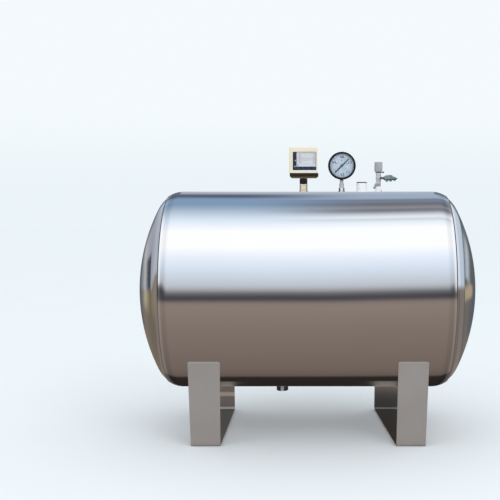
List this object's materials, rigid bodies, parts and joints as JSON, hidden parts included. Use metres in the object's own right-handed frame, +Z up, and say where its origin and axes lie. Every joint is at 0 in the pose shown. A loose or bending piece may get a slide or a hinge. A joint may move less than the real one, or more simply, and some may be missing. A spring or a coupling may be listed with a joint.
{
  "type": "well pressure tank",
  "caption": "Horizontal polished pressure tank with dished ends on two folded-sheet supports, with a pressure switch, dial gauge, relief valve and open pipe sockets.",
  "frame": {"origin": "middle of the bounding box on the floor, under the middle of the vessel's axis", "axes": "+X along the vessel's axis towards the relief valve, +Y towards the back, away from the gauge's dial, +Z up"},
  "size_m": [0.8574, 0.5, 0.7235],
  "materials": {
    "polished_steel": "mirror polished stainless",
    "support_steel": "plain cold-rolled",
    "plated_metal": "bright plated",
    "brass": "machined",
    "black_paint": "satin",
    "dark_metal": "dark coated",
    "zinc_plate": "zinc plated",
    "scale_alloy": "satin",
    "grey_plastic": "matte",
    "cream_plastic": "gloss moulded",
    "navy_panel": "matte",
    "green_coating": "plastic coated",
    "gauge_glass": "clear",
    "clear_plastic": "clear plastic",
    "dial_paint": "painted dial"
  },
  "bodies": {
    "tank": {"tank_shell": "polished_steel", "head_left": "polished_steel", "head_right": "polished_steel", "support_left": "support_steel", "support_right": "support_steel", "drain_socket": "polished_steel", "spare_socket": "polished_steel", "gauge_socket": "polished_steel", "gauge_stem": "plated_metal", "gauge_case": "black_paint", "gauge_bezel": "black_paint", "gauge_lens": "gauge_glass", "gauge_dial": "dial_paint", "gauge_dial_screw_left": "plated_metal", "gauge_dial_screw_right": "plated_metal", "gauge_movement_frame": "brass", "gauge_bourdon_tube": "brass", "switch_socket": "brass", "switch_nut": "dark_metal", "switch_base": "dark_metal", "switch_bellows": "brass", "switch_chassis": "zinc_plate", "switch_spring": "plated_metal", "switch_range_screw": "plated_metal", "switch_contacts": "black_paint", "switch_cover": "cream_plastic", "switch_window": "clear_plastic", "switch_panel": "navy_panel", "switch_scale_plate": "scale_alloy", "relief_nipple": "polished_steel", "relief_body": "plated_metal", "relief_lever_pin": "plated_metal", "relief_spring": "plated_metal", "relief_lock_ring": "dark_metal", "relief_lock_screw": "dark_metal", "relief_cap": "grey_plastic"},
    "gauge_sector_body": {"gauge_sector": "brass"},
    "gauge_link_body": {"gauge_link": "brass"},
    "gauge_pointer_body": {"gauge_pointer": "black_paint", "gauge_pinion": "brass"},
    "switch_arm_body": {"switch_arm": "zinc_plate"},
    "relief_lever_body": {"relief_lever": "green_coating"},
    "relief_spindle_body": {"relief_spindle": "brass"}
  },
  "joints": [
    {"name": "gauge_sector_turn", "type": "hinge", "parent": "tank", "child": "gauge_sector_body", "pos_m": [0.087, -0.00825, 0.66385], "axis": [0, -1, 0], "range_deg": [0, 40], "stiffness_Nm_per_rad": 0.002, "springref_deg": -5.73},
    {"name": "gauge_pointer_turn", "type": "hinge", "parent": "tank", "child": "gauge_pointer_body", "pos_m": [0.087, -0.00825, 0.6778], "axis": [0, 1, 0], "range_deg": [0, 270]},
    {"name": "gauge_link_turn", "type": "hinge", "parent": "gauge_sector_body", "child": "gauge_link_body", "pos_m": [0.08855, -0.00825, 0.65805], "axis": [0, -1, 0], "range_deg": [-40, 0]},
    {"name": "switch_arm_tilt", "type": "hinge", "parent": "tank", "child": "switch_arm_body", "pos_m": [-0.0321, 0, 0.664], "axis": [0, -1, 0], "range_deg": [0, 2], "stiffness_Nm_per_rad": 0.4, "springref_deg": -2.86, "deforming": ["switch_spring", "switch_bellows"]},
    {"name": "relief_lever_press", "type": "hinge", "parent": "tank", "child": "relief_lever_body", "pos_m": [0.191, 0, 0.64688], "axis": [0, 1, 0], "range_deg": [0, 14], "stiffness_Nm_per_rad": 0.3, "springref_deg": -5.73},
    {"name": "relief_spindle_lift", "type": "slide", "parent": "tank", "child": "relief_spindle_body", "axis": [0, 0, 1], "range_m": [0, 0.0022], "deforming": ["relief_spring"]}
  ],
  "couplings": [
    {"joint": "gauge_pointer_turn", "follows": "gauge_sector_turn", "ratio": 6.75},
    {"joint": "gauge_link_turn", "follows": "gauge_sector_turn", "ratio": -1},
    {"joint": "relief_spindle_lift", "follows": "relief_lever_press", "m_per_rad": 0.0086}
  ]
}
